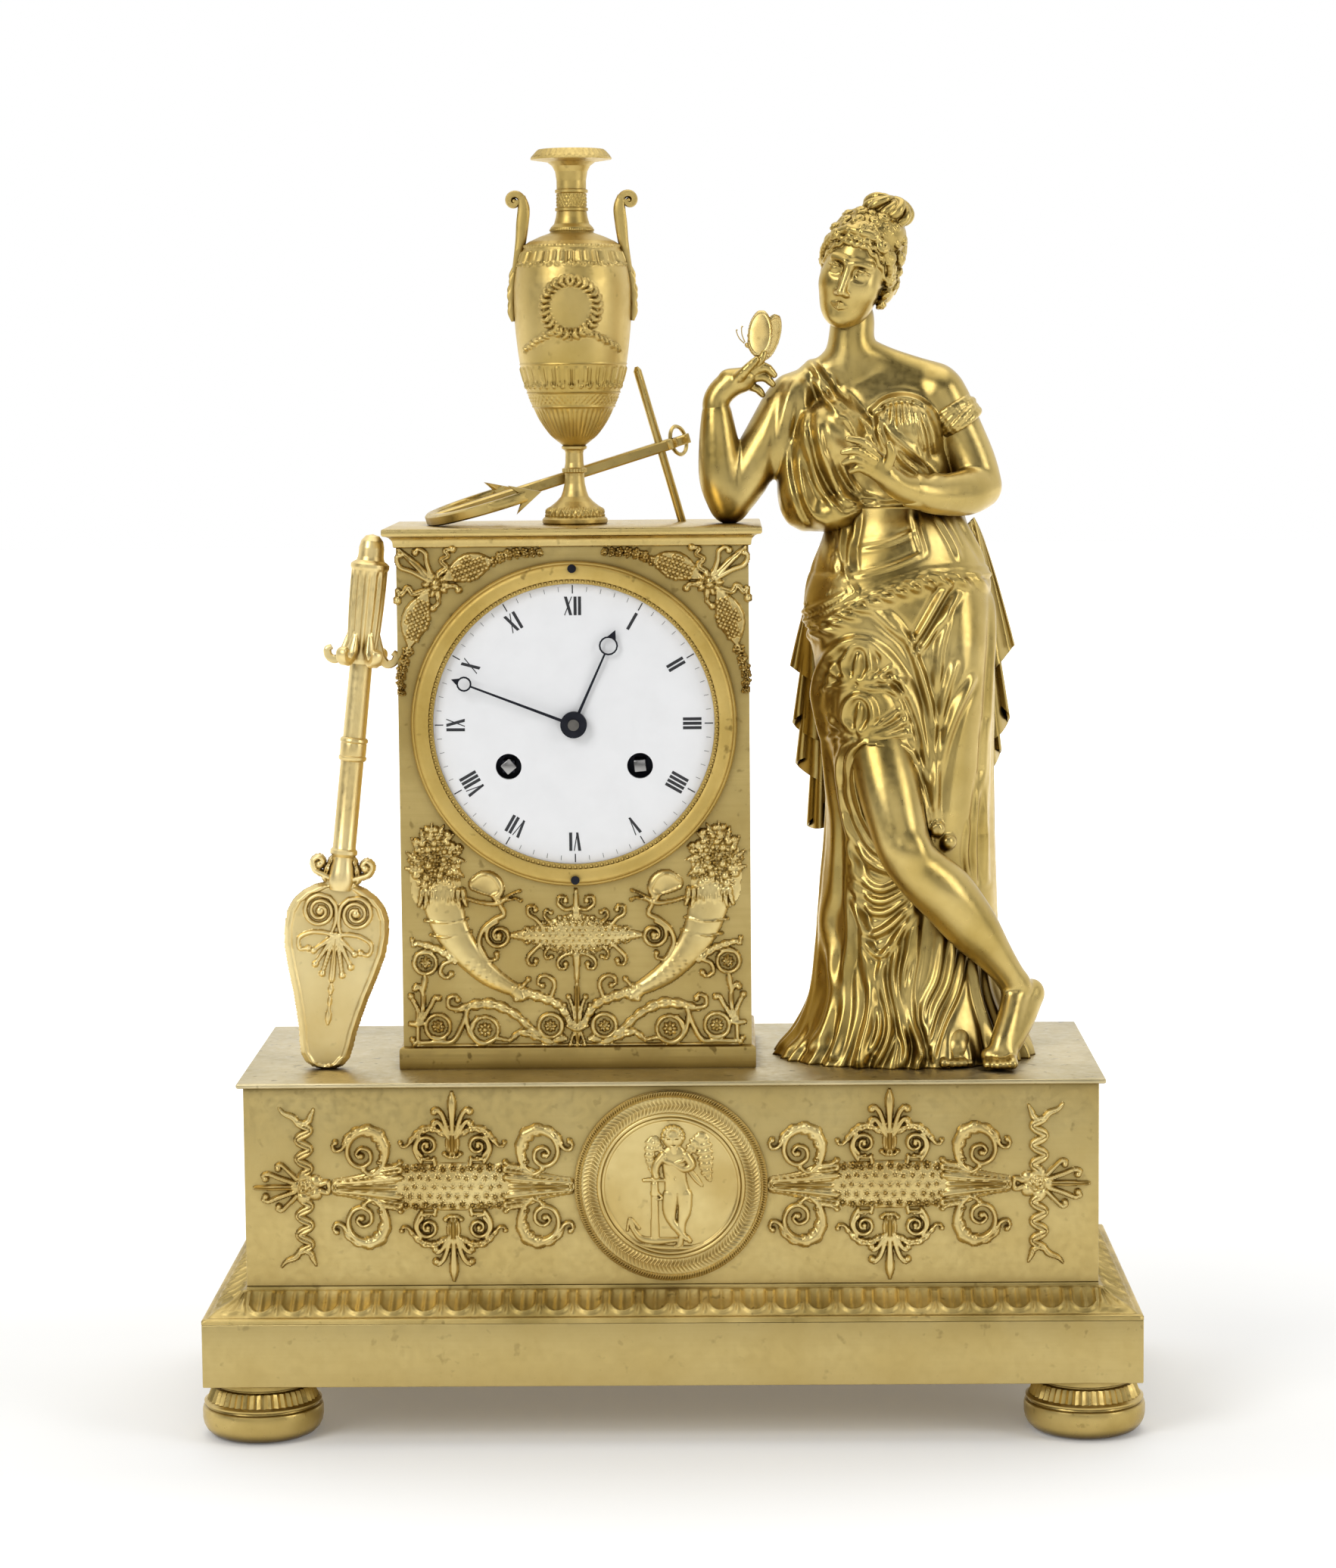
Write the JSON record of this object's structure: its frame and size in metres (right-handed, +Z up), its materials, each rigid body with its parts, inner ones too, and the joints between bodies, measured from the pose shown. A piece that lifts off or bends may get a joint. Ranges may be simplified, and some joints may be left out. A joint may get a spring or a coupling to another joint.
{
  "type": "figural mantel clock",
  "caption": "Gilt bronze mantel clock: a draped woman leans on a clock pedestal with a vase and anchor on top, a steering oar beside it, on a footed base with relief mounts.",
  "frame": {"origin": "on the table under the middle of the base", "axes": "+Z up, dial facing -Y, figure towards +X"},
  "size_m": [0.336, 0.15, 0.4554],
  "materials": {
    "gilt_bronze": "satin gilt with burnished high points",
    "gilt_case": "matt gilt with thin dark patina",
    "enamel": "glossy white enamel with black numerals",
    "movement_brass": "brushed",
    "bell_metal": "turned",
    "blued_steel": "blued"
  },
  "bodies": {
    "clock": {"bun_feet": "gilt_bronze", "foot_bolts": "blued_steel", "plinth": "gilt_case", "leaf_moulding": "gilt_case", "frieze_block": "gilt_case", "base_slab": "gilt_case", "holding_studs": "blued_steel", "pedestal_foot": "gilt_case", "pedestal_case": "gilt_case", "cornice": "gilt_case", "dial": "enamel", "bezel": "gilt_bronze", "bezel_screws": "blued_steel", "front_plate": "movement_brass", "back_plate": "movement_brass", "bell": "bell_metal", "bell_stand": "blued_steel", "movement_straps": "movement_brass", "strap_screws": "blued_steel", "rear_bezel": "gilt_bronze", "door_pin": "blued_steel", "vase_foot": "gilt_bronze", "vase_body": "gilt_bronze", "vase_neck": "gilt_bronze", "vase_handles": "gilt_bronze", "vase_rod": "blued_steel", "anchor": "gilt_bronze", "anchor_stock": "gilt_bronze", "oar_blade": "gilt_bronze", "oar_shaft": "gilt_bronze", "oar_handle": "gilt_bronze", "figure_skirt": "gilt_bronze", "figure_torso": "gilt_bronze", "figure_head": "gilt_bronze", "figure_right_arm": "gilt_bronze", "figure_left_arm": "gilt_bronze", "figure_leg": "gilt_bronze", "butterfly": "gilt_bronze", "frieze_mount_left": "gilt_bronze", "frieze_mount_right": "gilt_bronze", "ribbon_mounts": "gilt_bronze", "medallion": "gilt_bronze", "cornucopia_mount": "gilt_bronze", "spandrel_mounts": "gilt_bronze"},
    "minute": {"minute_hand": "blued_steel", "cannon_pinion": "blued_steel"},
    "hour": {"hour_hand": "blued_steel", "hour_wheel": "movement_brass"},
    "minute_wheel_body": {"minute_wheel": "movement_brass"},
    "going_barrel_body": {"going_barrel": "movement_brass"},
    "going_arbor_body": {"going_arbor": "blued_steel"},
    "strike_barrel_body": {"strike_barrel": "movement_brass"},
    "strike_arbor_body": {"strike_arbor": "blued_steel"},
    "escape_body": {"escape_wheel": "movement_brass"},
    "pallet_body": {"pallets": "blued_steel"},
    "pendulum_body": {"pendulum": "movement_brass"},
    "hammer_body": {"hammer": "blued_steel"},
    "count_body": {"count_wheel": "movement_brass"},
    "door": {"rear_door": "gilt_bronze"},
    "ring": {"anchor_ring": "gilt_bronze"}
  },
  "joints": [
    {"name": "minute_spin", "type": "hinge", "parent": "clock", "child": "minute", "pos_m": [-0.0335, -0.032, 0.2514], "axis": [0, 1, 0], "continuous": true},
    {"name": "hour_spin", "type": "hinge", "parent": "clock", "child": "hour", "pos_m": [-0.0335, -0.032, 0.2514], "axis": [0, 1, 0], "continuous": true},
    {"name": "minute_wheel_spin", "type": "hinge", "parent": "clock", "child": "minute_wheel_body", "pos_m": [-0.0335, -0.032, 0.2394], "axis": [0, 1, 0], "continuous": true},
    {"name": "going_barrel_turn", "type": "hinge", "parent": "clock", "child": "going_barrel_body", "pos_m": [-0.0101, -0.032, 0.2364], "axis": [0, 1, 0], "continuous": true},
    {"name": "going_wind", "type": "hinge", "parent": "clock", "child": "going_arbor_body", "pos_m": [-0.0101, -0.032, 0.2364], "axis": [0, 1, 0], "range_deg": [0, 1800]},
    {"name": "strike_barrel_turn", "type": "hinge", "parent": "clock", "child": "strike_barrel_body", "pos_m": [-0.0569, -0.032, 0.2364], "axis": [0, 1, 0], "continuous": true},
    {"name": "strike_wind", "type": "hinge", "parent": "clock", "child": "strike_arbor_body", "pos_m": [-0.0569, -0.032, 0.2364], "axis": [0, 1, 0], "range_deg": [0, 1800]},
    {"name": "escape_wheel_spin", "type": "hinge", "parent": "clock", "child": "escape_body", "pos_m": [-0.0335, -0.032, 0.2765], "axis": [0, 1, 0], "continuous": true},
    {"name": "pendulum_swing", "type": "hinge", "parent": "clock", "child": "pendulum_body", "pos_m": [-0.0335, -0.032, 0.2899], "axis": [0, 1, 0], "range_deg": [-5, 5]},
    {"name": "pallet_rock", "type": "hinge", "parent": "clock", "child": "pallet_body", "pos_m": [-0.0335, -0.032, 0.2899], "axis": [0, 1, 0], "range_deg": [-5, 5]},
    {"name": "hammer_lift", "type": "hinge", "parent": "clock", "child": "hammer_body", "pos_m": [-0.0535, -0.032, 0.2224], "axis": [0, -1, 0], "range_deg": [0, 15]},
    {"name": "count_wheel_spin", "type": "hinge", "parent": "clock", "child": "count_body", "pos_m": [-0.0575, -0.032, 0.2554], "axis": [0, 1, 0], "continuous": true},
    {"name": "rear_door_swing", "type": "hinge", "parent": "clock", "child": "door", "pos_m": [0.022, 0.0363, 0.2514], "axis": [0, 0, -1], "range_deg": [0, 110]},
    {"name": "anchor_ring_swing", "type": "hinge", "parent": "clock", "child": "ring", "pos_m": [0.00139, 0.01566, 0.34964], "axis": [-0.2756, -0.0687, 0.9588], "range_deg": [-135, 45]}
  ],
  "couplings": [
    {"joint": "hour_spin", "follows": "minute_spin", "ratio": 0.083333},
    {"joint": "minute_wheel_spin", "follows": "minute_spin", "ratio": -0.33333},
    {"joint": "going_barrel_turn", "follows": "minute_spin", "ratio": 0.019841},
    {"joint": "pallet_rock", "follows": "pendulum_swing", "ratio": 1},
    {"joint": "count_wheel_spin", "follows": "strike_barrel_turn", "ratio": -4}
  ]
}
